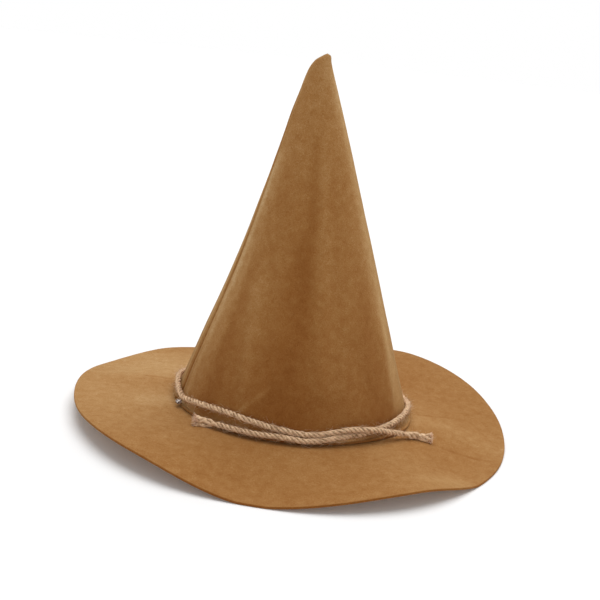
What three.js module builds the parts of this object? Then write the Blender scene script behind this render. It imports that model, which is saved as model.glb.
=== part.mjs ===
// A pointed costume hat of brown felt with a wide wavy brim and a jute rope band, resting on a table.
// Millimetres, +Z up. The origin is on the table under the middle of the brim, and the front faces -Y.
// Angles are in degrees, anticlockwise from +X seen from above, so the front is at 270.
import * as THREE from "three";

const { clamp, degToRad, lerp, smoothstep } = THREE.MathUtils;

// Driving sizes
const FELT = 1.8; // thickness of the felt sheet
const GAP = 0.3; // clearance between neighbouring pieces
const BRIM_RADIUS = 177;
const BRIM_HOLE_RADIUS = 91.5;
const BRIM_STAND = 11.9; // height of the brim's underside round the hole
const BRIM_LEVEL_RADIUS = 100; // the brim is level under the crown as far as this
const BRIM_REST_RADIUS = 165; // and lies flat on the table, where it touches it, from here out
const BRIM_EASE = 0.6; // how far its slope is rounded off at both ends: 0 is straight
const CROWN_FOOT = BRIM_STAND + FELT + GAP; // height of the crown's lower edge
const CROWN_HEIGHT = 281; // from the lower edge to the tip
const HOLLOW_HEIGHT = 277; // from the lower edge to the top of the hollow
const FOOT_DEPTH = 0.955; // depth of the oval foot of the crown as a share of its width
const LIP_RADIUS = 97.5; // the crown's lower edge turns out onto the brim as far as this
const LIP_FLARE = { angle: 332, spread: 20, reach: 3.5 }; // and further on the right
const FOLD_FADE = 30; // length over which a fold in the crown fades out at each end
const SETTLE = 1.2; // waves lower than this lie flat on the table
const ROPE_DIAMETER = 4.3;
const GLUE_RADIUS = 2.2;
const GLUE_STRETCH = { out: 1.1, along: 1.4, up: 0.9 }; // how the drop is squeezed against the crown

// Resolution
const CROWN_COLUMNS = 80;
const CROWN_OUTER_ROWS = 22;
const CROWN_INNER_ROWS = 12;
const BRIM_COLUMNS = 96;
const BRIM_RINGS = [96, 104, 114, 125, 136, 147, 157]; // between the hole and the resting edge
const ROPE_SIDES = 8;
const ROPE_STEPS = 74;
const GLUE_COLUMNS = 14;
const GLUE_ROWS = 10;

// Level sections of the crown: how far its outside reaches left and right of the axis, and its depth from
// front to back as a share of its width.
const CROWN_SECTIONS = [
  { height: 0, left: 95.2, right: 95.2, depth: FOOT_DEPTH },
  { height: 40, left: 82.3, right: 81.8, depth: 0.96 },
  { height: 120, left: 55.6, right: 55, depth: 0.97 },
  { height: 205, left: 32.1, right: 26, depth: 0.97 },
  { height: 250, left: 20.5, right: 10.2, depth: 0.92 },
  { height: 267, left: 15.7, right: 3.9, depth: 0.86 },
  { height: 275, left: 11.2, right: 1.3, depth: 0.8 },
  { height: 279.5, left: 5.2, right: 0.3, depth: 0.8 },
  { height: CROWN_HEIGHT, left: 2.4, right: -2.4, depth: 0.8 },
];

// Thickness of the sloping wall, measured level.
const WALL = FELT * Math.hypot(1, CROWN_SECTIONS[0].left / CROWN_HEIGHT);

// Folds in the crown: each runs up the felt from its foot to its head and is pushed out or in over its width.
const CROWN_FOLDS = [
  { name: "seam groove", footAngle: 197.5, foot: -12, headAngle: 200.5, head: 262, width: 3, push: -1.2 },
  { name: "seam front lip", footAngle: 202, foot: 0, headAngle: 205, head: 262, width: 4, push: 0.9 },
  { name: "seam back lip", footAngle: 193, foot: 0, headAngle: 196, head: 262, width: 4, push: 0.9 },
  { name: "front crease", footAngle: 262, foot: 60, headAngle: 269, head: 225, width: 8, push: -2 },
  { name: "front ridge", footAngle: 285, foot: 20, headAngle: 277, head: 245, width: 8, push: 1.6 },
  { name: "left ridge", footAngle: 248, foot: 5, headAngle: 234, head: 125, width: 9, push: 1.6 },
  { name: "slanting pinch", footAngle: 246, foot: 4, headAngle: 262, head: 58, width: 6, push: 1.4 },
  { name: "pinch hollow", footAngle: 256, foot: 0, headAngle: 272, head: 60, width: 9, push: -2.2 },
  { name: "right ridge", footAngle: 330, foot: 0, headAngle: 335, head: 95, width: 8, push: 1.6 },
  { name: "right hollow", footAngle: 312, foot: 12, headAngle: 305, head: 85, width: 12, push: -1.4 },
  { name: "back crease", footAngle: 96, foot: 30, headAngle: 88, head: 220, width: 9, push: -1.4 },
];

// Waves of the brim's rim: each lifts it off the table, and runs out over so many degrees clockwise (before)
// and anticlockwise (after).
const RIM_WAVES = [
  { name: "right back", at: 51, lift: 20.8, before: 78, after: 44 },
  { name: "back left", at: 138, lift: 4.2, before: 22, after: 26 },
  { name: "left", at: 184, lift: 13, before: 46, after: 54 },
  { name: "left front", at: 231, lift: 14.8, before: 43, after: 36 },
  { name: "right front", at: 302, lift: 12.4, before: 44, after: 29 },
];

// Soft creases that run out across the brim between the crown and the rim.
const BRIM_CREASES = [
  { name: "left", angle: 172, spread: 7, push: 1.6 },
  { name: "left front", angle: 212, spread: 9, push: -1.4 },
  { name: "right", angle: 350, spread: 6, push: 1.5 },
  { name: "right front", angle: 337, spread: 6, push: -0.8 },
  { name: "back", angle: 28, spread: 9, push: -1.2 },
];

// Centre line of the rope from its left free end, once round the crown, to its right free end, with heights
// above the crown's lower edge.
const ROPE_ROUTE = [
  { angle: 227.2, radius: 104.3, height: 3.4 },
  { angle: 231, radius: 98.9, height: 3 },
  { angle: 238, radius: 96.5, height: 3.8 },
  { angle: 246, radius: 95.9, height: 4.3 },
  { angle: 256, radius: 95.4, height: 4.7 },
  { angle: 266, radius: 95, height: 5.2 },
  { angle: 271.5, radius: 95.1, height: 4.7 },
  { angle: 277.6, radius: 95.4, height: 3.9 },
  { angle: 284, radius: 95.3, height: 4.5 },
  { angle: 291, radius: 95, height: 6.1 },
  { angle: 298, radius: 94.1, height: 7 },
  { angle: 306, radius: 93.9, height: 7.2 },
  { angle: 321, radius: 93.8, height: 8.3 },
  { angle: 332, radius: 94.4, height: 9.3 },
  { angle: 342, radius: 94.7, height: 9.5 },
  { angle: 351, radius: 95, height: 9.2 },
  { angle: 359, radius: 95.7, height: 6.9 },
  { angle: 370, radius: 96.3, height: 4.6 },
  { angle: 396, radius: 96.2, height: 4.6 },
  { angle: 434, radius: 93.7, height: 4.8 },
  { angle: 470, radius: 93.8, height: 4.8 },
  { angle: 505, radius: 95.2, height: 5.6 },
  { angle: 525, radius: 95.6, height: 6.8 },
  { angle: 537, radius: 95, height: 9.8 },
  { angle: 546, radius: 94.5, height: 11.6 },
  { angle: 553, radius: 94.9, height: 10 },
  { angle: 560, radius: 95.1, height: 8.6 },
  { angle: 567, radius: 94.9, height: 7.9 },
  { angle: 580, radius: 92.8, height: 11 },
  { angle: 600, radius: 91.2, height: 13.4 },
  { angle: 610, radius: 91.3, height: 12.3 },
  { angle: 627.5, radius: 91.2, height: 9.2 },
  { angle: 641, radius: 91.8, height: 7.5 },
  { angle: 651.5, radius: 92.3, height: 9.7 },
  { angle: 658, radius: 94, height: 11.8 },
  { angle: 665, radius: 95.8, height: 11.8 },
  { angle: 673, radius: 98, height: 10 },
  { angle: 686, radius: 103.8, height: 4 },
  { angle: 693, radius: 111.8, height: 0.5 },
  { angle: 696.7, radius: 121.7, height: -1.4 },
];

// Where the glue holds the rope to the crown's lip.
const GLUE_PLACE = { angle: 205.4, radius: 98.1, height: FELT + GLUE_RADIUS * GLUE_STRETCH.up };

// Materials
const felt = new THREE.MeshStandardMaterial({ color: 0x9a6b38, roughness: 0.95, metalness: 0 });
const jute = new THREE.MeshStandardMaterial({ color: 0xc3a07a, roughness: 0.9, metalness: 0 });
const clearGlue = new THREE.MeshStandardMaterial({ color: 0xe4ded4, roughness: 0.2, metalness: 0 });

// Smooth value of one column of a table whose rows are sorted by the key column.
function tableValue(rows, key, column, at) {
  const last = rows.length - 1;
  let index = 0;
  while (index < last - 1 && at > rows[index + 1][key]) index += 1;
  const slopeAt = (row) => {
    const before = rows[Math.max(row - 1, 0)];
    const after = rows[Math.min(row + 1, last)];
    return (after[column] - before[column]) / (after[key] - before[key]);
  };
  const from = rows[index];
  const to = rows[index + 1];
  const span = to[key] - from[key];
  const t = clamp((at - from[key]) / span, 0, 1);
  const rise = t * t * (3 - 2 * t);
  const leaving = t * (1 - t) * (1 - t) * span * slopeAt(index);
  const arriving = t * t * (1 - t) * span * slopeAt(index + 1);
  return lerp(from[column], to[column], rise) + leaving - arriving;
}

// Signed turn from one angle to another, the short way round.
function turnBetween(from, to) {
  return THREE.MathUtils.euclideanModulo(to - from + 180, 360) - 180;
}

function polar(angle, radius, height) {
  const turn = degToRad(angle);
  return new THREE.Vector3(radius * Math.cos(turn), radius * Math.sin(turn), height);
}

// Half the crown's width from left to right, at a height above its lower edge.
function crownHalfWidth(height) {
  const left = tableValue(CROWN_SECTIONS, "height", "left", height);
  const right = tableValue(CROWN_SECTIONS, "height", "right", height);
  return (left + right) / 2;
}

// How far the folds push the crown's wall outwards.
function crownPush(angle, height) {
  let push = 0;
  for (const fold of CROWN_FOLDS) {
    const along = (height - fold.foot) / (fold.head - fold.foot);
    const middle = lerp(fold.footAngle, fold.headAngle, along);
    const away = degToRad(turnBetween(middle, angle)) * crownHalfWidth(height);
    const rising = smoothstep(height, fold.foot, fold.foot + FOLD_FADE);
    const falling = 1 - smoothstep(height, fold.head - FOLD_FADE, fold.head);
    push += fold.push * rising * falling * Math.exp(-((away / fold.width) ** 2));
  }
  return push;
}

// How far the lip flares out, at a distance outside the crown's wall.
function lipFlare(angle, outside) {
  const share = clamp(outside / (LIP_RADIUS - crownHalfWidth(0)), 0, 1);
  return LIP_FLARE.reach * share * Math.exp(-((turnBetween(LIP_FLARE.angle, angle) / LIP_FLARE.spread) ** 2));
}

// A point of the round profile moved to its place in the leaning, folded crown.
function placeOnCrown(angle, radius, height) {
  const left = tableValue(CROWN_SECTIONS, "height", "left", height);
  const right = tableValue(CROWN_SECTIONS, "height", "right", height);
  const depth = tableValue(CROWN_SECTIONS, "height", "depth", height);
  const out = radius + crownPush(angle, height) + lipFlare(angle, radius - crownHalfWidth(height));
  const point = polar(angle, out, CROWN_FOOT + height);
  point.x += (right - left) / 2;
  point.y *= depth;
  return point;
}

// Lift of the brim's rim off the table.
function rimLift(angle) {
  let lift = 0;
  for (const wave of RIM_WAVES) {
    const turn = turnBetween(wave.at, angle);
    const reach = turn < 0 ? wave.before : wave.after;
    const share = Math.min(Math.abs(turn) / reach, 1);
    lift += wave.lift * Math.cos((share * Math.PI) / 2) ** 2;
  }
  return Math.max(0, lift - SETTLE);
}

// Height of the brim's underside: level under the crown, then sloping out to the waves of the rim.
function brimUnderside(angle, radius) {
  const out = clamp((radius - BRIM_LEVEL_RADIUS) / (BRIM_REST_RADIUS - BRIM_LEVEL_RADIUS), 0, 1);
  const share = lerp(out, smoothstep(out, 0, 1), BRIM_EASE);
  let height = lerp(BRIM_STAND, rimLift(angle), share);
  for (const crease of BRIM_CREASES) {
    const away = turnBetween(crease.angle, angle) / crease.spread;
    height += crease.push * Math.sin(Math.PI * out) * Math.exp(-away * away);
  }
  return height;
}

// Moves each point of a turned form to the place that a rule gives for its angle, radius and height.
function reshape(geometry, place) {
  geometry.rotateX(Math.PI / 2);
  const positions = geometry.attributes.position;
  const point = new THREE.Vector3();
  for (let i = 0; i < positions.count; i += 1) {
    point.fromBufferAttribute(positions, i);
    const angle = THREE.MathUtils.radToDeg(Math.atan2(point.y, point.x));
    const moved = place(angle, Math.hypot(point.x, point.y), point.z);
    positions.setXYZ(i, moved.x, moved.y, moved.z);
  }
  geometry.computeVertexNormals();
  return geometry;
}

// Heights of the rows of a wall, closer together towards the tip.
function rowHeights(bottom, top, rows) {
  const heightOf = (_, row) => lerp(bottom, top, Math.sin((row / rows) * (Math.PI / 2)));
  return Array.from({ length: rows + 1 }, heightOf);
}

// The felt cone: down the inside, out along the lip, and up the outside.
function makeCrown() {
  const profile = [];
  for (const height of rowHeights(0, HOLLOW_HEIGHT, CROWN_INNER_ROWS).reverse()) {
    const inside = height < HOLLOW_HEIGHT ? crownHalfWidth(height) - WALL : 0;
    profile.push(new THREE.Vector2(inside, height));
  }
  profile.push(new THREE.Vector2(LIP_RADIUS, 0), new THREE.Vector2(LIP_RADIUS, FELT));
  for (const height of rowHeights(FELT, CROWN_HEIGHT, CROWN_OUTER_ROWS)) {
    profile.push(new THREE.Vector2(crownHalfWidth(height), height));
  }
  const crown = new THREE.Mesh(reshape(new THREE.LatheGeometry(profile, CROWN_COLUMNS), placeOnCrown), felt);
  crown.name = "crown";
  return crown;
}

// The felt ring: out along the underside, up the cut edge, and back along the top.
function makeBrim() {
  const radii = [BRIM_HOLE_RADIUS, ...BRIM_RINGS, BRIM_REST_RADIUS, BRIM_RADIUS];
  const underside = radii.map((radius) => new THREE.Vector2(radius, 0));
  const top = radii.map((radius) => new THREE.Vector2(radius, FELT)).reverse();
  const profile = [...underside, ...top, underside[0]];
  const place = (angle, radius, height) => {
    const point = polar(angle, radius, height + brimUnderside(angle, radius));
    point.y *= lerp(FOOT_DEPTH, 1, smoothstep(radius, BRIM_LEVEL_RADIUS, BRIM_REST_RADIUS));
    return point;
  };
  const brim = new THREE.Mesh(reshape(new THREE.LatheGeometry(profile, BRIM_COLUMNS), place), felt);
  brim.name = "brim";
  return brim;
}

// The rope: a round section drawn along its route.
function makeRope() {
  const route = ROPE_ROUTE.map(({ angle, radius, height }) => polar(angle, radius, CROWN_FOOT + height));
  const path = new THREE.CatmullRomCurve3(route);
  const section = new THREE.Shape();
  section.absarc(0, 0, ROPE_DIAMETER / 2, 0, 2 * Math.PI);
  const outline = new THREE.Shape(section.getSpacedPoints(ROPE_SIDES).slice(0, ROPE_SIDES));
  const drawn = { steps: ROPE_STEPS, extrudePath: path, bevelEnabled: false };
  const rope = new THREE.Mesh(new THREE.ExtrudeGeometry(outline, drawn), jute);
  rope.name = "rope_band";
  return rope;
}

// The dab of clear glue: a flattened drop on the crown's lip, under the rope.
function makeGlue() {
  const drop = new THREE.SphereGeometry(GLUE_RADIUS, GLUE_COLUMNS, GLUE_ROWS);
  const glue = new THREE.Mesh(drop, clearGlue);
  glue.name = "glue_dab";
  glue.scale.set(GLUE_STRETCH.out, GLUE_STRETCH.along, GLUE_STRETCH.up);
  glue.rotation.z = degToRad(GLUE_PLACE.angle);
  glue.position.copy(polar(GLUE_PLACE.angle, GLUE_PLACE.radius, CROWN_FOOT + GLUE_PLACE.height));
  return glue;
}

const hat = new THREE.Group();
hat.add(makeCrown(), makeBrim(), makeRope(), makeGlue());
export default hat;
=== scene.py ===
"""Looks of a pointed costume hat of brown felt with a jute rope band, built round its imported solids.

Metres, +Z up, the front towards -Y. Angles are in degrees, anticlockwise from +X seen from above.
"""
import math
from collections import namedtuple

import bmesh
import bpy
import numpy as np
from mathutils import Matrix, Vector, noise


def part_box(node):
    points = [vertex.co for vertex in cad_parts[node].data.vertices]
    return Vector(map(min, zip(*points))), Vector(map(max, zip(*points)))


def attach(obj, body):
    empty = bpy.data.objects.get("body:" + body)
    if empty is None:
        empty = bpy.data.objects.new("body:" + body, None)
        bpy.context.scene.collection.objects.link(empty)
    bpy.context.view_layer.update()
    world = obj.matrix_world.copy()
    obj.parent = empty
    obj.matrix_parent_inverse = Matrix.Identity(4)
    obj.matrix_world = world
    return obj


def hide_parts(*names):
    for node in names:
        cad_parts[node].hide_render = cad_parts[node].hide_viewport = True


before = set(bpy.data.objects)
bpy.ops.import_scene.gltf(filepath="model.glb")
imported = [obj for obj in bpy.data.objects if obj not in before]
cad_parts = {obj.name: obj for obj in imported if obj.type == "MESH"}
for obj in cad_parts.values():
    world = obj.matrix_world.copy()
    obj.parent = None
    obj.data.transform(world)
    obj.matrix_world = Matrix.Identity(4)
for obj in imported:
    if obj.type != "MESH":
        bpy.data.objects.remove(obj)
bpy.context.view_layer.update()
random = np.random.default_rng(7)

# Sizes shared with the solids
FELT = 0.0018
BRIM_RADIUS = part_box("brim")[1].x
BRIM_HOLE_RADIUS = 0.0915
BRIM_STAND = 0.0119
BRIM_LEVEL_RADIUS = 0.1
BRIM_REST_RADIUS = 0.165
BRIM_EASE = 0.6
CROWN_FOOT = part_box("crown")[0].z
CROWN_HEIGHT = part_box("crown")[1].z - CROWN_FOOT
TIP_FELT = 0.004  # thickness of the felt at the tip
HOLLOW_HEIGHT = CROWN_HEIGHT - TIP_FELT
FOOT_DEPTH = 0.955
LIP_RADIUS = 0.0975
LIP_FLARE_ANGLE = 332
LIP_FLARE_SPREAD = 20
LIP_FLARE = 0.0035
FOLD_FADE = 0.03
SETTLE = 0.0012
ROPE_DIAMETER = 0.0043

# Level sections of the crown, by height above its lower edge: its reach left and right of the axis, and its
# depth from front to back as a share of its width
Section = namedtuple("Section", "height left right depth")
CROWN_SECTIONS = [
    Section(0.0, 0.0952, 0.0952, FOOT_DEPTH),
    Section(0.04, 0.0823, 0.0818, 0.96),
    Section(0.12, 0.0556, 0.055, 0.97),
    Section(0.205, 0.0321, 0.026, 0.97),
    Section(0.25, 0.0205, 0.0102, 0.92),
    Section(0.267, 0.0157, 0.0039, 0.86),
    Section(0.275, 0.0112, 0.0013, 0.8),
    Section(0.2795, 0.0052, 0.0003, 0.8),
    Section(CROWN_HEIGHT, 0.0024, -0.0024, 0.8),
]

# Folds in the crown: each runs up the felt from its foot to its head and is pushed out or in over its width
Fold = namedtuple("Fold", "name foot_angle foot head_angle head width push")
CROWN_FOLDS = [
    Fold("seam groove", 197.5, -0.012, 200.5, 0.262, 0.0013, -0.0008),
    Fold("deep seam groove", 197.5, -0.03, 199.3, 0.15, 0.0013, -0.0014),
    Fold("seam front lip", 202.0, 0.0, 205.0, 0.262, 0.005, 0.0011),
    Fold("seam back lip", 193.0, 0.0, 196.0, 0.262, 0.0035, 0.0008),
    Fold("front crease", 262.0, 0.06, 269.0, 0.225, 0.008, -0.002),
    Fold("front ridge", 285.0, 0.02, 277.0, 0.245, 0.008, 0.0016),
    Fold("left ridge", 248.0, 0.005, 234.0, 0.125, 0.009, 0.0016),
    Fold("slanting pinch", 246.0, 0.004, 262.0, 0.058, 0.006, 0.0014),
    Fold("pinch hollow", 256.0, 0.0, 272.0, 0.06, 0.009, -0.0022),
    Fold("right ridge", 330.0, 0.0, 335.0, 0.095, 0.008, 0.0016),
    Fold("right hollow", 312.0, 0.012, 305.0, 0.085, 0.012, -0.0014),
    Fold("back crease", 96.0, 0.03, 88.0, 0.22, 0.009, -0.0014),
]

# Painted light and shade on the crown: each runs up the felt in the same way, and is lighter or darker over
# its width
PaintedTone = namedtuple("PaintedTone", "name foot_angle foot head_angle head foot_width head_width tone")
CROWN_PAINTED_LIGHT = [
    PaintedTone("dark fan", 268, -0.03, 264, 0.16, 0.032, 0.004, -0.16),
    PaintedTone("dark band", 272, 0.05, 272, 0.24, 0.007, 0.003, -0.1),
    PaintedTone("light by the band", 284, 0.1, 284, 0.22, 0.006, 0.003, 0.07),
    PaintedTone("left streak", 250, -0.01, 233, 0.13, 0.006, 0.005, 0.09),
    PaintedTone("left shade", 226, -0.03, 222, 0.14, 0.012, 0.003, -0.1),
    PaintedTone("pinch streak", 234, 0.0, 267, 0.05, 0.0026, 0.0026, 0.2),
    PaintedTone("right shade", 318, -0.03, 320, 0.14, 0.012, 0.006, -0.08),
    PaintedTone("right streak", 337, -0.03, 341, 0.12, 0.01, 0.006, 0.08),
    PaintedTone("right side", 346, -0.03, 336, 0.29, 0.015, 0.006, 0.2),
    PaintedTone("right foot", 335, -0.06, 335, 0.03, 0.03, 0.03, -0.27),
    PaintedTone("seam back lip", 192, -0.03, 194, 0.2, 0.006, 0.003, 0.16),
    PaintedTone("seam front lip", 204.3, -0.03, 206, 0.215, 0.0045, 0.0028, 0.25),
    PaintedTone("seam front slope", 211, -0.03, 212, 0.23, 0.014, 0.006, 0.15),
]
FOOT_SHADE = -0.12  # painted shade: darker towards the foot of the crown
FOOT_SHADE_TOP = 0.1
LIP_LIGHT = 0.28  # painted light that takes the painted shade off its lip
LIP_LIGHT_TOP = 0.012
TIP_SHADE = 0.11  # and painted light towards the tip
TIP_SHADE_FOOT = 0.17

# Waves of the brim's rim: each lifts it off the table, and runs out over so many degrees clockwise (before)
# and anticlockwise (after)
Wave = namedtuple("Wave", "name at lift before after")
RIM_WAVES = [
    Wave("right back", 51, 0.0208, 78, 44),
    Wave("back left", 138, 0.0042, 22, 26),
    Wave("left", 184, 0.013, 46, 54),
    Wave("left front", 231, 0.0148, 43, 36),
    Wave("right front", 302, 0.0124, 44, 29),
]

# Soft creases that run out across the brim between the crown and the rim
Crease = namedtuple("Crease", "name angle spread push")
BRIM_CREASES = [
    Crease("left", 172, 7, 0.0016),
    Crease("left front", 212, 9, -0.0014),
    Crease("right", 350, 6, 0.0015),
    Crease("right front", 337, 6, -0.0008),
    Crease("back", 28, 9, -0.0012),
]

# Painted light and shade on the brim, each over a spread of degrees
BrimPaintedTone = namedtuple("BrimPaintedTone", "name angle spread tone")
BRIM_PAINTED_LIGHT = [
    BrimPaintedTone("left", 192, 36, 0.18),
    BrimPaintedTone("back left", 150, 21, 0.2),
    BrimPaintedTone("left crease", 177, 6, -0.05),
    BrimPaintedTone("front right", 308, 10, 0.06),
    BrimPaintedTone("right", 351, 9, 0.1),
    BrimPaintedTone("right back", 10, 25, 0.05),
]

# Thin creases of painted shade and patches of painted light on the brim: each runs out from an inner to an
# outer place, and is lighter or darker over its width
BrimPaintedMark = namedtuple("BrimPaintedMark", "name inner_angle inner outer_angle outer width tone")
BRIM_PAINTED_MARKS = [
    BrimPaintedMark("left crease", 169.6, 0.099, 171.4, 0.135, 0.0014, -0.18),
    BrimPaintedMark("upper right crease", 358.7, 0.098, 365, 0.143, 0.0014, -0.14),
    BrimPaintedMark("lower right crease", 335.5, 0.122, 341.8, 0.174, 0.0018, -0.16),
    BrimPaintedMark("light right rim", 317, 0.145, 319, 0.2, 0.035, 0.12),
    BrimPaintedMark("light by the rope", 197, 0.09, 197, 0.135, 0.013, 0.12),
]
MARK_FADE = 0.3  # share of a mark over which it fades out at each end

# Centre line of the rope from its left free end, once round the crown, to its right free end, with heights
# above the crown's lower edge
RoutePoint = namedtuple("RoutePoint", "angle radius height")
ROPE_ROUTE = [
    RoutePoint(227.2, 0.1043, 0.0034),
    RoutePoint(231, 0.0989, 0.003),
    RoutePoint(238, 0.0965, 0.0038),
    RoutePoint(246, 0.0959, 0.0043),
    RoutePoint(256, 0.0954, 0.0047),
    RoutePoint(266, 0.095, 0.0052),
    RoutePoint(271.5, 0.0951, 0.0047),
    RoutePoint(277.6, 0.0954, 0.0039),
    RoutePoint(284, 0.0953, 0.0045),
    RoutePoint(291, 0.095, 0.0061),
    RoutePoint(298, 0.0941, 0.007),
    RoutePoint(306, 0.0939, 0.0072),
    RoutePoint(321, 0.0938, 0.0083),
    RoutePoint(332, 0.0944, 0.0093),
    RoutePoint(342, 0.0947, 0.0095),
    RoutePoint(351, 0.095, 0.0092),
    RoutePoint(359, 0.0957, 0.0069),
    RoutePoint(370, 0.0963, 0.0046),
    RoutePoint(396, 0.0962, 0.0046),
    RoutePoint(434, 0.0937, 0.0048),
    RoutePoint(470, 0.0938, 0.0048),
    RoutePoint(505, 0.0952, 0.0056),
    RoutePoint(525, 0.0956, 0.0068),
    RoutePoint(537, 0.095, 0.0098),
    RoutePoint(546, 0.0945, 0.0116),
    RoutePoint(553, 0.0949, 0.01),
    RoutePoint(560, 0.0951, 0.0086),
    RoutePoint(567, 0.0949, 0.0079),
    RoutePoint(580, 0.0928, 0.011),
    RoutePoint(600, 0.0912, 0.0134),
    RoutePoint(610, 0.0913, 0.0123),
    RoutePoint(627.5, 0.0912, 0.0092),
    RoutePoint(641, 0.0918, 0.0075),
    RoutePoint(651.5, 0.0923, 0.0097),
    RoutePoint(658, 0.094, 0.0118),
    RoutePoint(665, 0.0958, 0.0118),
    RoutePoint(673, 0.098, 0.01),
    RoutePoint(686, 0.1038, 0.004),
    RoutePoint(693, 0.1118, 0.0005),
    RoutePoint(696.7, 0.1217, -0.0014),
]

# Meshes
JOIN_DISTANCE = 1e-6  # points closer than this become one
LEAST_LENGTH = 1e-12  # a shorter vector has no direction

# Felt
CORNER = 0.00055  # rounding of a cut edge
CORNER_STEPS = 4
SEAM_ANGLE = CROWN_FOLDS[0].foot_angle
SEAM_REACH = 9.0  # degrees either side of the seam that have closer columns
CROWN_COLUMN_STEP = 1.2
SEAM_COLUMN_STEP = 0.26
CROWN_OUTER_ROWS = 200
CROWN_INNER_ROWS = 38
BRIM_COLUMNS = 720
BRIM_TOP_RINGS = 62
BRIM_UNDER_RINGS = 30
EDGE_SHADE = -0.3  # painted shade that makes a cut edge darker
EDGE_FULL = 0.4  # share of its rounding that is fully so
LUMP_HEIGHT = 0.00022  # soft unevenness of the sheet
LUMP_SPAN = 0.03
LUMPS_UP = (0.004, 0.02)  # heights on the crown between which it sets in
LUMPS_OUT = 0.02  # and how far out on the brim
LUMPS_TIP = 0.01  # it fades out where the crown's radius is less
RIM_WANDER = 0.0003  # how far the scissors strayed from a true round
RIM_WANDER_SPAN = 0.035

# The fillet from the crown's lip up to its wall, out from the wall and up from the lip, in corners' roundings
Offset = namedtuple("Offset", "out up")
FOOT_FILLET = [Offset(2.4, 0.0), Offset(1.0, 0.15), Offset(0.3, 0.8)]
FILLET_TOP = 2

# Rope
ROUTE_STEPS = 60  # from one point of the route to the next
STRANDS = 3
STRAND_RADIUS = 0.232 * ROPE_DIAMETER
HELIX_RADIUS = 0.272 * ROPE_DIAMETER
LAY_LENGTH = 0.0117  # one turn of a strand
TWIST_WANDER = 0.9  # how far the strands' turn strays, in radians
TWIST_WANDER_SPAN = 0.012
ROPE_STEP = 0.00075
STRAND_SIDES = 20
YARNS = 2  # in each strand
YARN_RELIEF = 0.1
OPEN_RELIEF = 2.4  # how many times deeper the yarns stand apart in an open end
OPEN_SWELL = 1.55  # and how many times thicker each strand is there
STRAND_UNEVEN = 0.24
STRAND_UNEVEN_SPAN = 0.0035
STRAND_ROUGH = 0.00016  # height of the bumps on a strand
STRAND_ROUGH_SPAN = 0.0011

# Loose fibres of the rope: hairs all along it and tufts at its cut ends
FIBRE_POINTS = 5
FIBRE_SIDES = 3
FIBRE_TAPER = 0.35  # share of its thickness that is left at a fibre's free end
HAIR_COUNT = 4200
HAIR_MARGIN = 4  # steps at the rope's ends that have none
HAIR_OUT = 0.0006  # lean away from the crown
HAIR_STRAY = 0.0004  # lean to any side
HAIR_CLEAR = 0.25  # least share that points away from the crown
HAIR_LIFT = (0.15, 0.75)  # how steeply they leave the strand
HAIR_ROOT = 0.8  # share of the strand's radius at which they start
HAIR_LENGTH = (0.002, 0.0065)
HAIR_CURL = 0.5
HAIR_DROOP = 0.0002  # how far they may hang below the crown's lower edge
HAIR_THICKNESS = (0.00005, 0.00011)
TUFT_FIBRES = 130  # at each strand's cut end
TUFT_STEPS = 8  # steps of the strand that give their direction
TUFT_ROOT = 0.003  # how far inside the strand they start
TUFT_FAN = 0.25  # how far they lean away from the middle of the rope
TUFT_LEAN = 0.45  # and to any side, at most
TUFT_SHORTEST = 0.0028
TUFT_CURL = 0.25
TUFT_THICKNESS = (0.00008, 0.00016)

# The rope's two open ends: the length over which the strands are unlaid, the share of their twist that is
# left, how many times wider they wind, how far they part (0 is not at all, 1 is fully), how much painted
# light makes them paler, the longest cut fibre, and where each strand lies at the cut if fully parted, out
# from the middle of the rope along the brim and up
OpenEnd = namedtuple("OpenEnd", "length twist spread apart pale tuft fans")
LEFT_FANS = [Offset(0.0002, 0.0025), Offset(0.0008, 0.0006), Offset(0.0012, -0.0024)]
RIGHT_FANS = [Offset(0.0006, 0.0003), Offset(0.001, -0.0019), Offset(-0.0004, 0.0023)]
LEFT_END = OpenEnd(0.024, 0.7, 1.45, 1.0, 0.12, 0.0062, LEFT_FANS)
RIGHT_END = OpenEnd(0.034, 0.9, 1.5, 0.75, 0.0, 0.0044, RIGHT_FANS)

# Glue
GLUE_RINGS = 32
GLUE_COLUMNS = 48
GLUE_LUMPS = 0.3
GLUE_LUMP_SPAN = 0.45  # in radii of the dab
GLUE_SHARE = 0.92  # the lumps stay within the dab's box

# Colours
FELT_COLOUR = (0.342, 0.155, 0.0445, 1.0)
FELT_SHEEN = (1.0, 0.93, 0.48, 1.0)
# Jute by tone, from the dark that the painted shade between the strands reaches to the palest fibre
JUTE_STOPS = [(0.1, (0.1, 0.045, 0.017)), (0.4, (0.46, 0.27, 0.138)), (0.7, (0.9, 0.645, 0.41))]
HAIR_COLOUR = (0.7, 0.48, 0.31, 1.0)
# Paler than the hairs: painted light on the brush at the cut ends
TUFT_COLOUR = (0.95, 0.68, 0.48, 1.0)
# Painted dark reflection and painted white glint of the glue
GLUE_GLINT_STOPS = [(0.46, (0.1, 0.06, 0.05)), (0.54, (1.0, 0.94, 0.89))]
FLOOR_COLOUR = (0.9, 0.9, 0.9, 1.0)
FLOOR_GLOW = 0.06

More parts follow.
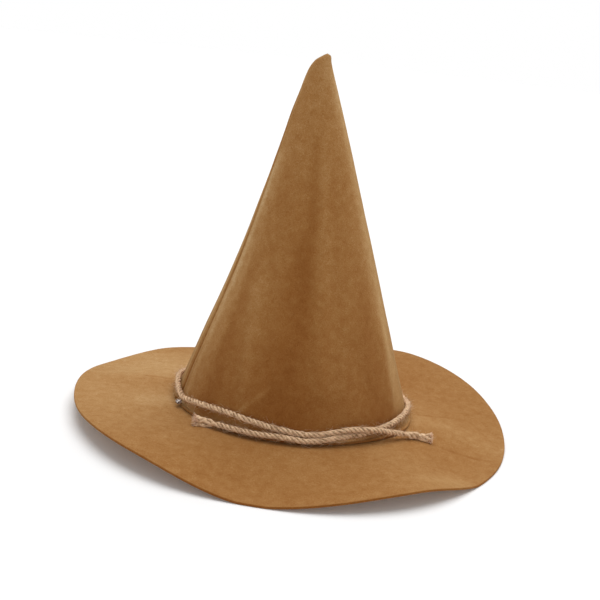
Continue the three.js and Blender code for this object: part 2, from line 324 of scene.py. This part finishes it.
# Noise in the felt and the jute: where it is read, its scale, and how far it sways the tone and the relief
Texture = namedtuple("Texture", "name place scale detail distortion tone relief")
FELT_TEXTURES = [
    Texture("clouds", "solid", 16, 3, 0.0, 0.18, 0.0),
    Texture("mottle", "solid", 150, 4, 0.0, 0.33, 0.6),
    Texture("fibres", "solid", 520, 3, 2.5, 0.64, 0.8),
    Texture("grain", "solid", 2400, 2, 0.0, 0.2, 0.35),
]
JUTE_TEXTURES = [
    Texture("streaks", "strand", 1.0, 4, 0.6, 1.0, 0.8),
    Texture("patches", "solid", 260, 3, 0.0, 1.0, 0.0),
    Texture("specks", "solid", 1800, 2, 0.0, 0.9, 0.4),
]
STREAK_SCALE = (420.0, 16.0, 1.0)  # along a strand and round it
GROOVE_PAINTED_SHADE = 0.47  # painted shade: how much darker the strands are between each other
GLUE_GLINT_SCALE = 900  # scale of the painted glints and dark painted reflections in the glue

# Camera, light and floor
CAMERA_EYE = Vector((0.0, -0.8429, 0.3292))
CAMERA_AIM = Vector((-0.00249, 0.0, 0.09979))
CAMERA_ROLL = 6.35
CAMERA_LENS = 65.0
SUN_FROM = Vector((0.1, 0.35, 1.0))
SUN_STRENGTH = 2.3
SUN_BREADTH = 60.0
HORIZON_TOP = 0.11  # the white band reaches up to this sine of its elevation
HORIZON_FADE = 0.15
CEILING = 0.42
FLOOR_RADIUS = 6.0
FLOOR_SIDES = 96


def polar(angle, radius, height):
    """Points at angles in degrees, as an array whose last axis is x, y, z."""
    turn = np.radians(angle)
    x, y, z = np.broadcast_arrays(radius * np.cos(turn), radius * np.sin(turn), height)
    return np.stack([x, y, z], axis=-1)


def smoothstep(value, low, high):
    share = np.clip((value - low) / (high - low), 0, 1)
    return share * share * (3 - 2 * share)


def turn_between(start, end):
    """Signed turn from one angle to another, the short way round."""
    return (end - start + 180) % 360 - 180


def section_value(column, height):
    """Smooth value of one column of the crown's sections."""
    keys = np.array([row.height for row in CROWN_SECTIONS])
    values = np.array([getattr(row, column) for row in CROWN_SECTIONS])
    last = len(keys) - 1
    before = np.maximum(np.arange(last + 1) - 1, 0)
    after = np.minimum(np.arange(last + 1) + 1, last)
    slopes = (values[after] - values[before]) / (keys[after] - keys[before])
    index = np.clip(np.searchsorted(keys, height) - 1, 0, last - 1)
    span = keys[index + 1] - keys[index]
    t = np.clip((height - keys[index]) / span, 0, 1)
    rise = t * t * (3 - 2 * t)
    leaving = t * (1 - t) ** 2 * span * slopes[index]
    arriving = t * t * (1 - t) * span * slopes[index + 1]
    return values[index] + (values[index + 1] - values[index]) * rise + leaving - arriving


def crown_half_width(height):
    return (section_value("left", height) + section_value("right", height)) / 2


def share_along(row, height):
    """How far up a fold a height is, from 0 at its foot to 1 at its head."""
    return (height - row.foot) / (row.head - row.foot)


def fold_strength(row, width, angle, height):
    """Strength of a fold, from 0 away from it to 1 on its middle line."""
    middle = row.foot_angle + (row.head_angle - row.foot_angle) * share_along(row, height)
    away = np.radians(turn_between(middle, angle)) * crown_half_width(height)
    rising = smoothstep(height, row.foot, row.foot + FOLD_FADE)
    falling = 1 - smoothstep(height, row.head - FOLD_FADE, row.head)
    return rising * falling * np.exp(-((away / width) ** 2))


def crown_push(angle, height):
    """How far the folds push the crown's wall outwards."""
    return sum(fold.push * fold_strength(fold, fold.width, angle, height) for fold in CROWN_FOLDS)


def crown_painted_light(angle, height):
    """Painted light and shade on the crown: negative is darker, positive is lighter."""
    tone = FOOT_SHADE * (1 - smoothstep(height, 0.0, FOOT_SHADE_TOP))
    tone = tone + LIP_LIGHT * (1 - smoothstep(height, FELT, LIP_LIGHT_TOP))
    tone = tone + TIP_SHADE * smoothstep(height, TIP_SHADE_FOOT, CROWN_HEIGHT)
    for painted_light in CROWN_PAINTED_LIGHT:
        along = np.clip(share_along(painted_light, height), 0, 1)
        width = painted_light.foot_width + (painted_light.head_width - painted_light.foot_width) * along
        tone = tone + painted_light.tone * fold_strength(painted_light, width, angle, height)
    return tone


def lip_flare(angle, outside):
    """How far the lip flares out, at a distance outside the crown's wall."""
    share = np.clip(outside / (LIP_RADIUS - crown_half_width(0.0)), 0, 1)
    return LIP_FLARE * share * np.exp(-((turn_between(LIP_FLARE_ANGLE, angle) / LIP_FLARE_SPREAD) ** 2))


def place_on_crown(angle, radius, height):
    """Points of the round profile moved to their places in the leaning, folded crown."""
    out = radius + crown_push(angle, height) * (radius > 0)
    out = out + lip_flare(angle, radius - crown_half_width(height))
    point = polar(angle, out, CROWN_FOOT + height)
    point[..., 0] += (section_value("right", height) - section_value("left", height)) / 2
    point[..., 1] *= section_value("depth", height)
    return point


def rim_lift(angle):
    """Lift of the brim's rim off the table."""
    lift = 0
    for wave in RIM_WAVES:
        turn = turn_between(wave.at, angle)
        reach = np.where(turn < 0, wave.before, wave.after)
        share = np.minimum(np.abs(turn) / reach, 1)
        lift = lift + wave.lift * np.cos(share * math.pi / 2) ** 2
    return np.maximum(lift - SETTLE, 0)


def brim_underside(angle, radius):
    """Height of the brim's underside: level under the crown, then sloping out to the waves of the rim."""
    out = np.clip((radius - BRIM_LEVEL_RADIUS) / (BRIM_REST_RADIUS - BRIM_LEVEL_RADIUS), 0, 1)
    share = out + (smoothstep(out, 0, 1) - out) * BRIM_EASE
    height = BRIM_STAND + (rim_lift(angle) - BRIM_STAND) * share
    for crease in BRIM_CREASES:
        away = turn_between(crease.angle, angle) / crease.spread
        height = height + crease.push * np.sin(math.pi * out) * np.exp(-away * away)
    return height


def mark_strength(mark, angle, radius):
    """Strength of a mark on the brim, from 0 away from it to 1 along it."""
    along = (radius - mark.inner) / (mark.outer - mark.inner)
    middle = mark.inner_angle + (mark.outer_angle - mark.inner_angle) * along
    away = np.radians(turn_between(middle, angle)) * radius
    faded = smoothstep(along, 0.0, MARK_FADE) * (1 - smoothstep(along, 1 - MARK_FADE, 1.0))
    return faded * np.exp(-((away / mark.width) ** 2))


def brim_painted_light(angle, radius):
    """Painted light and shade on the brim: negative is darker, positive is lighter."""
    tone = sum(mark.tone * mark_strength(mark, angle, radius) for mark in BRIM_PAINTED_MARKS)
    for painted_light in BRIM_PAINTED_LIGHT:
        tone = tone + painted_light.tone * np.exp(-((turn_between(painted_light.angle, angle) / painted_light.spread) ** 2))
    return tone


def noise_at(points, span):
    """Smooth noise from -1 to 1 at each point, with lumps about span across."""
    flat = points.reshape(-1, 3) / span
    values = [noise.noise(Vector(point)) for point in flat]
    return np.array(values).reshape(points.shape[:-1])


def mesh_object(name, points, faces):
    """A smooth-shaded object from points and faces."""
    mesh = bpy.data.meshes.new(name)
    mesh.from_pydata(points.reshape(-1, 3).tolist(), [], faces)
    mesh.shade_smooth()
    made = bpy.data.objects.new(name, mesh)
    bpy.context.scene.collection.objects.link(made)
    return made


def grid_faces(rows, columns, wrap_rows):
    """Quads of a grid of points that closes on itself round its columns, and along its rows if asked."""
    faces = []
    for row in range(rows if wrap_rows else rows - 1):
        here = row * columns
        there = (row + 1) % rows * columns
        for column in range(columns):
            beside = (column + 1) % columns
            faces.append((here + column, here + beside, there + beside, there + column))
    return faces


def add_painted_light(made, tones):
    """Keeps the painted light and shade of each point, for the felt's or the jute's colour."""
    layer = made.data.attributes.new("painted_light", "FLOAT", "POINT")
    layer.data.foreach_set("value", np.ascontiguousarray(tones, np.float32).ravel())


def tidy_normals(made):
    """Joins points that meet, and turns the faces outwards."""
    work = bmesh.new()
    work.from_mesh(made.data)
    bmesh.ops.remove_doubles(work, verts=work.verts, dist=JOIN_DISTANCE)
    bmesh.ops.recalc_face_normals(work, faces=work.faces)
    work.to_mesh(made.data)
    work.free()


def rounded_edge(radius, bottom, top):
    """Rows of a cut edge with rounded corners, from its underside to its top."""
    turns = [math.pi / 2 * step / CORNER_STEPS for step in range(CORNER_STEPS + 1)]
    rows = []
    for turn in turns:
        rows.append((radius - CORNER * (1 - math.sin(turn)), bottom + CORNER * (1 - math.cos(turn))))
    for turn in turns:
        rows.append((radius - CORNER * (1 - math.cos(turn)), top - CORNER * (1 - math.sin(turn))))
    return rows


def edge_painted_shade(radius, edge_radius):
    """Painted shade on a sheet's cut edge, and none away from it."""
    return EDGE_SHADE * smoothstep(radius, edge_radius - CORNER, edge_radius - EDGE_FULL * CORNER)


def crown_columns():
    """Angles of the crown's columns, closer together at the seam."""
    close = np.arange(SEAM_ANGLE - SEAM_REACH, SEAM_ANGLE + SEAM_REACH, SEAM_COLUMN_STEP)
    apart = np.arange(SEAM_ANGLE + SEAM_REACH, SEAM_ANGLE - SEAM_REACH + 360, CROWN_COLUMN_STEP)
    return np.concatenate([close, apart])


def row_heights(bottom, top, rows):
    """Heights of the rows of a wall, closer together towards the tip."""
    return bottom + (top - bottom) * np.sin(np.linspace(0, math.pi / 2, rows + 1))


def crown_profile():
    """Radius and height of the crown's rows: down the inside, out along the lip, and up the outside."""
    wall = FELT * math.hypot(1, CROWN_SECTIONS[0].left / CROWN_HEIGHT)
    rows = [(0.0, HOLLOW_HEIGHT)]
    for height in row_heights(CORNER, HOLLOW_HEIGHT, CROWN_INNER_ROWS)[-2::-1]:
        rows.append((crown_half_width(height) - wall, height))
    rows.append((crown_half_width(0.0) - wall + CORNER, 0.0))
    rows += rounded_edge(LIP_RADIUS, 0.0, FELT)
    foot = FELT + FILLET_TOP * CORNER
    turn_in = crown_half_width(foot)
    rows += [(turn_in + step.out * CORNER, FELT + step.up * CORNER) for step in FOOT_FILLET]
    for height in row_heights(foot, CROWN_HEIGHT, CROWN_OUTER_ROWS):
        rows.append((crown_half_width(height), height))
    return np.array(rows).T[..., None]


def crown_lumps(points, radius, height):
    """Soft unevenness of the crown's wall, which fades out at its foot and its tip."""
    outward = unit((points - points.mean(axis=1, keepdims=True)) * [1, 1, 0])
    share = smoothstep(height, *LUMPS_UP) * smoothstep(radius, 0.0, LUMPS_TIP)
    return outward * (noise_at(points, LUMP_SPAN) * LUMP_HEIGHT * share)[..., None]


def make_crown(felt):
    """The felt cone, hollow and open below, with its lip, seam and folds."""
    radius, height = crown_profile()
    angle = crown_columns()[None]
    points = place_on_crown(angle, radius, height)
    points += crown_lumps(points, radius, height)
    crown = mesh_object("felt_crown", points, grid_faces(*points.shape[:2], wrap_rows=False))
    # Painted light and shade on the crown, with painted shade on its lip's cut edge
    add_painted_light(crown, crown_painted_light(angle, height) + edge_painted_shade(radius, LIP_RADIUS))
    tidy_normals(crown)
    crown.data.materials.append(felt)
    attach(crown, "root")
    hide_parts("crown")


def brim_profile():
    """Radius and height of the brim's rows: out along the underside, round the edge, and back on top."""
    under = np.linspace(BRIM_HOLE_RADIUS, BRIM_RADIUS - CORNER, BRIM_UNDER_RINGS)[1:-1]
    top = np.linspace(BRIM_RADIUS - CORNER, BRIM_HOLE_RADIUS, BRIM_TOP_RINGS)[1:-1]
    rows = [(BRIM_HOLE_RADIUS, FELT / 2), (BRIM_HOLE_RADIUS + CORNER, 0.0)]
    rows += [(radius, 0.0) for radius in under]
    rows += rounded_edge(BRIM_RADIUS, 0.0, FELT)
    rows += [(radius, FELT) for radius in top]
    rows.append((BRIM_HOLE_RADIUS + CORNER, FELT))
    return np.array(rows).T[..., None]


def make_brim(felt):
    """The felt ring, with its waves, soft creases and a rim that was cut by hand."""
    radius, height = brim_profile()
    angle = np.linspace(0, 360, BRIM_COLUMNS, endpoint=False)[None]
    outer = smoothstep(radius, BRIM_REST_RADIUS, BRIM_RADIUS)
    wander = noise_at(polar(angle, BRIM_RADIUS, 0.0), RIM_WANDER_SPAN) * RIM_WANDER
    lumps = noise_at(polar(angle, radius, 0.0), LUMP_SPAN) * LUMP_HEIGHT
    share = smoothstep(radius, BRIM_LEVEL_RADIUS, BRIM_LEVEL_RADIUS + LUMPS_OUT) * (1 - outer)
    points = polar(angle, radius + (wander - RIM_WANDER) * outer, height + brim_underside(angle, radius))
    points[..., 1] *= FOOT_DEPTH + (1 - FOOT_DEPTH) * smoothstep(radius, BRIM_LEVEL_RADIUS, BRIM_REST_RADIUS)
    points[..., 2] += lumps * share
    brim = mesh_object("felt_brim", points, grid_faces(*points.shape[:2], wrap_rows=True))
    # Painted light and shade on the brim, with painted shade on its cut edge
    add_painted_light(brim, brim_painted_light(angle, radius) + edge_painted_shade(radius, BRIM_RADIUS))
    tidy_normals(brim)
    brim.data.materials.append(felt)
    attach(brim, "root")
    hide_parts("brim")


def smooth_route(points, per_span):
    """A smooth curve through points, as a centripetal Catmull-Rom spline."""
    ends = [2 * points[0] - points[1]], [2 * points[-1] - points[-2]]
    padded = np.concatenate([ends[0], points, ends[1]])
    gaps = np.sqrt(np.linalg.norm(np.diff(padded, axis=0), axis=1))
    t = np.linspace(0, 1, per_span, endpoint=False)[:, None]
    curve = []
    for i in range(1, len(padded) - 2):
        a, b, c, d = padded[i - 1 : i + 3]
        before, span, after = gaps[i - 1 : i + 2]
        leaving = ((b - a) / before - (c - a) / (before + span) + (c - b) / span) * span
        arriving = ((c - b) / span - (d - b) / (span + after) + (d - c) / after) * span
        rise = t * t * (3 - 2 * t)
        curve.append(b + (c - b) * rise + t * (1 - t) ** 2 * leaving - t * t * (1 - t) * arriving)
    return np.concatenate([*curve, points[-1:]])


def lengths_along(line):
    steps = np.linalg.norm(np.diff(line, axis=0), axis=1)
    return np.concatenate([[0], np.cumsum(steps)])


def rope_centreline():
    """Evenly spaced points down the middle of the rope."""
    places = [polar(point.angle, point.radius, CROWN_FOOT + point.height) for point in ROPE_ROUTE]
    route = smooth_route(np.array(places), ROUTE_STEPS)
    along = lengths_along(route)
    even = np.linspace(0, along[-1], int(along[-1] / ROPE_STEP))
    return np.stack([np.interp(even, along, route[:, axis]) for axis in range(3)], axis=1)


def unit(vectors):
    return vectors / np.maximum(np.linalg.norm(vectors, axis=-1, keepdims=True), LEAST_LENGTH)


def rope_strands(line):
    """Centre lines of the strands, by strand, step and place, how open each step is, and its painted light.
    """
    along = lengths_along(line)
    ahead = unit(np.gradient(line, axis=0))
    out = line * [1, 1, 0]
    out = unit(out - ahead * (out * ahead).sum(1, keepdims=True))
    beside = np.cross(ahead, out)
    level = unit(np.cross(ahead, [0, 0, 1]))
    level *= np.sign((level * line).sum(1, keepdims=True))
    left_open = 1 - smoothstep(along, 0, LEFT_END.length)
    right_open = smoothstep(along, along[-1] - RIGHT_END.length, along[-1])
    ends = [(LEFT_END, left_open), (RIGHT_END, right_open)]
    opened = left_open + right_open
    pale = sum(end.pale * share for end, share in ends)
    twist = 1 - sum((1 - end.twist) * share for end, share in ends)
    turn = np.cumsum(twist) * ROPE_STEP / LAY_LENGTH * 2 * math.pi
    turn += TWIST_WANDER * noise_at(line, TWIST_WANDER_SPAN)
    reach = HELIX_RADIUS * (1 + sum((end.spread - 1) * share for end, share in ends))[:, None]
    strands = []
    for strand in range(STRANDS):
        phase = (turn + 2 * math.pi * strand / STRANDS)[:, None]
        offset = reach * (np.cos(phase) * out + np.sin(phase) * beside)
        for end, share in ends:
            spread = level * end.fans[strand].out + np.array([0, 0, end.fans[strand].up])
            offset = offset + (spread - offset) * (end.apart * share)[:, None]
        strands.append(line + offset)
    return np.array(strands), opened, pale


def tube_points(lines, outward, radius):
    """Rings of points round many lines. Radius is an array of line, step and side."""
    ahead = unit(np.gradient(lines, axis=1))
    out = unit(outward - ahead * (outward * ahead).sum(-1, keepdims=True))
    beside = np.cross(ahead, out)
    turn = np.linspace(0, 2 * math.pi, radius.shape[2], endpoint=False)[:, None]
    ring = np.cos(turn) * out[:, :, None] + np.sin(turn) * beside[:, :, None]
    return lines[:, :, None] + ring * radius[..., None]


def tube_faces(count, steps, sides):
    """Faces of many closed tubes."""
    faces = []
    side_quads = grid_faces(steps, sides, wrap_rows=False)
    for tube in range(count):
        first = tube * steps * sides
        last = first + (steps - 1) * sides
        faces += [tuple(first + corner for corner in quad) for quad in side_quads]
        faces.append(tuple(first + side for side in reversed(range(sides))))
        faces.append(tuple(last + side for side in range(sides)))
    return faces


def add_strand_map(made, steps, sides, length):
    """A map along and round the strands: metres along, and turns round."""
    layer = made.data.uv_layers.new(name="Strand")
    step = length / (steps - 1)
    corners = []
    for row in range(steps - 1):
        for side in range(sides):
            low, high = row * step, (row + 1) * step
            first, second = side / sides, (side + 1) / sides
            corners += [(low, first), (low, second), (high, second), (high, first)]
    caps = [(0.0, side / sides) for side in range(sides)] + [(length, side / sides) for side in range(sides)]
    values = []
    for strand in range(STRANDS):
        values += [(along, turn + strand) for along, turn in corners + caps]
    layer.uv.foreach_set("vector", np.array(values, np.float32).ravel())


def make_rope(jute):
    """The rope: three twisted strands of two yarns, unlaid at its cut ends."""
    line = rope_centreline()
    strands, opened, pale = rope_strands(line)
    steps = len(line)
    outward = strands - line
    turn = np.linspace(0, 2 * math.pi, STRAND_SIDES, endpoint=False)
    yarn_twist = np.arange(steps) * ROPE_STEP / LAY_LENGTH * 2 * math.pi
    relief = YARN_RELIEF * (1 + (OPEN_RELIEF - 1) * opened)[:, None]
    ridges = 1 + relief * np.cos(YARNS * (turn + yarn_twist[:, None]))
    uneven = 1 + STRAND_UNEVEN * noise_at(strands, STRAND_UNEVEN_SPAN)
    swell = 1 + (OPEN_SWELL - 1) * opened
    radius = STRAND_RADIUS * (uneven * swell)[..., None] * ridges
    points = tube_points(strands, outward, radius)
    rough = STRAND_ROUGH * noise_at(points, STRAND_ROUGH_SPAN)
    points += unit(points - strands[:, :, None]) * rough[..., None]
    rope = mesh_object("jute_rope", points, tube_faces(STRANDS, steps, STRAND_SIDES))
    # Painted light that makes the open ends paler
    add_painted_light(rope, np.broadcast_to(pale[:, None], points.shape[:3]))
    add_strand_map(rope, steps, STRAND_SIDES, lengths_along(line)[-1])
    rope.data.materials.append(jute)
    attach(rope, "root")
    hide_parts("rope_band")
    return rope, line, strands


def curled_lines(start, ahead, bend, length):
    """Short curved lines from start points, turning from ahead towards bend."""
    t = np.linspace(0, 1, FIBRE_POINTS)[None, :, None]
    reach = length[:, None, None] * t
    return start[:, None] + ahead[:, None] * reach + bend[:, None] * reach * t / 2


def fibre_tubes(name, lines, thickness, material):
    """Thin fibres along lines, tapering to their free ends."""
    count, steps = lines.shape[:2]
    taper = np.linspace(1, FIBRE_TAPER, steps)
    radius = np.repeat((thickness[:, None] * taper)[..., None], FIBRE_SIDES, axis=2)
    outward = np.broadcast_to(unit(random.normal(size=(count, 1, 3))), lines.shape)
    made = mesh_object(name, tube_points(lines, outward, radius), tube_faces(count, steps, FIBRE_SIDES))
    made.data.materials.append(material)
    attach(made, "root")
    return made


def make_hairs(material, line, strands):
    """Stray fibres that stand off the rope all along it."""
    strand = random.integers(0, STRANDS, HAIR_COUNT)
    step = random.integers(HAIR_MARGIN, len(line) - HAIR_MARGIN, HAIR_COUNT)
    middle = line[step]
    start = strands[strand, step]
    ahead = unit(line[step + 1] - line[step - 1]) * random.choice([-1, 1], (HAIR_COUNT, 1))
    outward = unit(middle * [1, 1, 0])
    away = unit(start - middle + outward * HAIR_OUT + random.normal(size=(HAIR_COUNT, 3)) * HAIR_STRAY)
    away += outward * np.maximum(0, HAIR_CLEAR - (away * outward).sum(1, keepdims=True))
    away = unit(away)
    lift = random.uniform(*HAIR_LIFT, (HAIR_COUNT, 1))
    begin = start + away * STRAND_RADIUS * HAIR_ROOT
    length = random.uniform(*HAIR_LENGTH, HAIR_COUNT)
    bend = random.normal(size=(HAIR_COUNT, 3)) * HAIR_CURL
    lines = curled_lines(begin, unit(ahead + away * lift), bend, length)
    lines[..., 2] = np.maximum(lines[..., 2], CROWN_FOOT - HAIR_DROOP)
    thickness = random.uniform(*HAIR_THICKNESS, HAIR_COUNT)
    return fibre_tubes("rope_hairs", lines, thickness, material)


def make_tufts(material, line, strands):
    """The brush of cut fibres at the rope's two ends."""
    lines = []
    for kind, end, before in ((LEFT_END, 0, TUFT_STEPS), (RIGHT_END, -1, -1 - TUFT_STEPS)):
        for strand in strands:
            ahead = unit(strand[end] - strand[before])
            across = random.normal(size=(TUFT_FIBRES, 3))
            across = unit(across - ahead * (across @ ahead)[:, None])
            place = np.sqrt(random.uniform(0, 1, (TUFT_FIBRES, 1))) * STRAND_RADIUS
            start = strand[end] - ahead * TUFT_ROOT + across * place
            fan = unit(strand[end] - line[end]) * TUFT_FAN
            leaning = unit(ahead + fan + across * random.uniform(0.0, TUFT_LEAN, (TUFT_FIBRES, 1)))
            length = random.uniform(TUFT_SHORTEST, kind.tuft, TUFT_FIBRES)
            bend = random.normal(size=(TUFT_FIBRES, 3)) * TUFT_CURL
            lines.append(curled_lines(start, leaning, bend, length))
    lines = np.concatenate(lines)
    thickness = random.uniform(*TUFT_THICKNESS, len(lines))
    return fibre_tubes("rope_tufts", lines, thickness, material)


def make_glue(clear):
    """The lumpy dab of clear glue that holds the rope to the crown."""
    low, high = (np.array(corner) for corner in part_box("glue_dab"))
    rise = np.linspace(-math.pi / 2, math.pi / 2, GLUE_RINGS)[:, None]
    angle = np.linspace(0, 360, GLUE_COLUMNS, endpoint=False)[None]
    ball = polar(angle, np.cos(rise), np.sin(rise))
    ball = ball * (1 + GLUE_LUMPS * noise_at(ball, GLUE_LUMP_SPAN))[..., None]
    points = (low + high) / 2 + ball * (high - low) / 2 * GLUE_SHARE
    glue = mesh_object("clear_glue", points, grid_faces(GLUE_RINGS, GLUE_COLUMNS, wrap_rows=False))
    tidy_normals(glue)
    glue.data.materials.append(clear)
    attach(glue, "root")
    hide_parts("glue_dab")


def new_material(name):
    """A node material, its tree and its shader."""
    made = bpy.data.materials.new(name)
    made.use_nodes = True
    return made, made.node_tree, made.node_tree.nodes["Principled BSDF"]


def add_node(tree, kind, **inputs):
    """Adds a shader node. An input's value is a number, a vector, a colour or another node's socket."""
    made = tree.nodes.new("ShaderNode" + kind)
    for name, value in inputs.items():
        set_input(tree, made.inputs[name.replace("_", " ")], value)
    return made


def set_input(tree, socket, value):
    if isinstance(value, bpy.types.NodeSocket):
        tree.links.new(value, socket)
    else:
        socket.default_value = value


def add_math(tree, operation, first, second):
    made = tree.nodes.new("ShaderNodeMath")
    made.operation = operation
    set_input(tree, made.inputs[0], first)
    set_input(tree, made.inputs[1], second)
    return made.outputs[0]


def add_noise(tree, place, scale, detail, distortion=0.0):
    """A noise texture's value, from 0 to 1."""
    made = add_node(tree, "TexNoise", Vector=place, Scale=scale, Detail=detail, Distortion=distortion)
    return made.outputs[0]


def add_ramp(tree, share, stops):
    """A colour ramp through stops of place and colour."""
    made = add_node(tree, "ValToRGB", Fac=share)
    ramp = made.color_ramp
    while len(ramp.elements) < len(stops):
        ramp.elements.new(1.0)
    for element, (place, colour) in zip(ramp.elements, stops):
        element.position = place
        element.color = (*colour, 1.0)
    return made.outputs[0]


def add_textures(tree, rows, places):
    """The values of rows of noise, each with its row. Places holds the coordinates that the rows name."""
    made = []
    for row in rows:
        made.append((add_noise(tree, places[row.place], row.scale, row.detail, row.distortion), row))
    return made


def add_bump(tree, shader, relief, strength, depth):
    """Raises the surface by a socket's value."""
    bump = add_node(tree, "Bump", Height=relief, Strength=strength, Distance=depth)
    set_input(tree, shader.inputs["Normal"], bump.outputs[0])


def set_finish(shader, **values):
    """Sets values that are the same all over the surface."""
    for name, value in values.items():
        shader.inputs[name.replace("_", " ")].default_value = value


def weighted_sum(tree, terms):
    """A half, plus how far each socket is from a half times its weight."""
    total = 0.5
    for socket, weight in terms:
        centred = add_math(tree, "SUBTRACT", socket, 0.5)
        total = add_math(tree, "ADD", add_math(tree, "MULTIPLY", centred, weight), total)
    return total


def kept_painted_light(tree):
    """The painted light and shade kept at each point."""
    made = add_node(tree, "Attribute")
    made.attribute_name = "painted_light"
    return made.outputs["Fac"]


def felt_material():
    """Pressed brown felt: mottled, matted fibres with a soft sheen."""
    made, tree, shader = new_material("felt")
    solid = add_node(tree, "TexCoord").outputs["Object"]
    textures = add_textures(tree, FELT_TEXTURES, {"solid": solid})
    spots = weighted_sum(tree, [(value, row.tone) for value, row in textures])
    # The felt is lightened and darkened by its painted light and shade
    tone = add_math(tree, "SUBTRACT", add_math(tree, "SUBTRACT", 1.5, spots), kept_painted_light(tree))
    colour = add_node(tree, "Gamma", Color=FELT_COLOUR, Gamma=tone).outputs[0]
    set_input(tree, shader.inputs["Base Color"], colour)
    relief = weighted_sum(tree, [(value, row.relief) for value, row in textures])
    add_bump(tree, shader, relief, strength=0.35, depth=0.0006)
    set_finish(shader, Roughness=0.95, Specular_IOR_Level=0.15)
    set_finish(shader, Sheen_Weight=0.22, Sheen_Roughness=0.35, Sheen_Tint=FELT_SHEEN)
    return made


def jute_material():
    """Pale tan jute with fibres that run along the strand."""
    made, tree, shader = new_material("jute")
    along = add_node(tree, "UVMap")
    along.uv_map = "Strand"
    strand = add_node(tree, "Mapping", Vector=along.outputs[0], Scale=STREAK_SCALE).outputs[0]
    solid = add_node(tree, "TexCoord").outputs["Object"]
    textures = add_textures(tree, JUTE_TEXTURES, {"strand": strand, "solid": solid})
    # Painted shade between the strands: darker on the side of each strand that faces the others
    round_strand = add_node(tree, "SeparateXYZ", Vector=along.outputs[0]).outputs["Y"]
    outside = add_math(tree, "COSINE", add_math(tree, "MULTIPLY", round_strand, 2 * math.pi), 0.0)
    groove = add_math(tree, "ADD", add_math(tree, "MULTIPLY", outside, 0.5), 0.5)
    spots = weighted_sum(tree, [*((value, row.tone) for value, row in textures), (groove, GROOVE_PAINTED_SHADE)])
    # The open ends' painted light makes them paler
    tone = add_math(tree, "ADD", spots, kept_painted_light(tree))
    set_input(tree, shader.inputs["Base Color"], add_ramp(tree, tone, JUTE_STOPS))
    relief = weighted_sum(tree, [(value, row.relief) for value, row in textures])
    add_bump(tree, shader, relief, strength=0.6, depth=0.0004)
    set_finish(shader, Roughness=0.85, Specular_IOR_Level=0.25, Sheen_Weight=0.06, Sheen_Roughness=0.5)
    return made


def fibre_material(name, colour):
    """Loose pale fibres of the jute."""
    made, _, shader = new_material(name)
    set_finish(shader, Base_Color=colour, Roughness=0.7)
    return made


def glue_material():
    """Set glue with painted glints and dark painted reflections in spots, glossy and partly clear."""
    made, tree, shader = new_material("clear_glue")
    solid = add_node(tree, "TexCoord").outputs["Object"]
    # Painted glints and dark painted reflections, in spots
    clouds = add_noise(tree, solid, GLUE_GLINT_SCALE, detail=2)
    set_input(tree, shader.inputs["Base Color"], add_ramp(tree, clouds, GLUE_GLINT_STOPS))
    set_finish(shader, Roughness=0.06, IOR=1.48, Transmission_Weight=0.2)
    return made


def floor_material():
    """Matt and pale, with a faint glow of its own that keeps it white."""
    made, _, shader = new_material("floor")
    set_finish(shader, Base_Color=FLOOR_COLOUR, Roughness=0.9, Specular_IOR_Level=0.05)
    set_finish(shader, Emission_Color=(1.0, 1.0, 1.0, 1.0), Emission_Strength=FLOOR_GLOW)
    return made


def make_floor():
    """A wide pale floor."""
    angle = np.linspace(0, 360, FLOOR_SIDES, endpoint=False)
    floor = mesh_object("floor", polar(angle, FLOOR_RADIUS, 0.0), [tuple(range(FLOOR_SIDES))])
    floor.data.materials.append(floor_material())


def make_camera():
    """The camera at the photograph's place, rolled so that the hat leans to the right."""
    ahead = (CAMERA_AIM - CAMERA_EYE).normalized()
    right = ahead.cross(Vector((0, 0, 1))).normalized()
    up = right.cross(ahead)
    roll = math.radians(CAMERA_ROLL)
    across = right * math.cos(roll) + up * math.sin(roll)
    upward = up * math.cos(roll) - right * math.sin(roll)
    camera = bpy.data.objects.new("camera", bpy.data.cameras.new("camera"))
    camera.data.lens = CAMERA_LENS
    turned = Matrix((across, upward, -ahead)).transposed().to_4x4()
    camera.matrix_world = Matrix.Translation(CAMERA_EYE) @ turned
    bpy.context.scene.collection.objects.link(camera)
    bpy.context.scene.camera = camera


def make_soft_sun():
    """A broad even light from above, a little behind the hat."""
    sun = bpy.data.objects.new("soft_sun", bpy.data.lights.new("soft_sun", "SUN"))
    sun.data.energy = SUN_STRENGTH
    sun.data.angle = math.radians(SUN_BREADTH)
    sun.rotation_mode = "QUATERNION"
    sun.rotation_quaternion = SUN_FROM.to_track_quat("Z", "Y")
    bpy.context.scene.collection.objects.link(sun)


def make_surroundings():
    """A white band round the horizon under a dimmer ceiling."""
    world = bpy.data.worlds.new("surroundings")
    world.use_nodes = True
    tree = world.node_tree
    direction = add_node(tree, "TexCoord").outputs["Generated"]
    height = add_node(tree, "SeparateXYZ", Vector=direction).outputs["Z"]
    stops = [(HORIZON_TOP, (1.0, 1.0, 1.0)), (HORIZON_TOP + HORIZON_FADE, (CEILING, CEILING, CEILING))]
    set_input(tree, tree.nodes["Background"].inputs["Color"], add_ramp(tree, height, stops))
    bpy.context.scene.world = world
    bpy.context.scene.view_settings.view_transform = "Standard"


make_camera()
felt = felt_material()
rope, rope_line, rope_strand_lines = make_rope(jute_material())
hairs = make_hairs(fibre_material("jute_hairs", HAIR_COLOUR), rope_line, rope_strand_lines)
tufts = make_tufts(fibre_material("jute_tufts", TUFT_COLOUR), rope_line, rope_strand_lines)
make_crown(felt)
make_brim(felt)
make_glue(glue_material())
make_floor()
make_surroundings()
make_soft_sun()
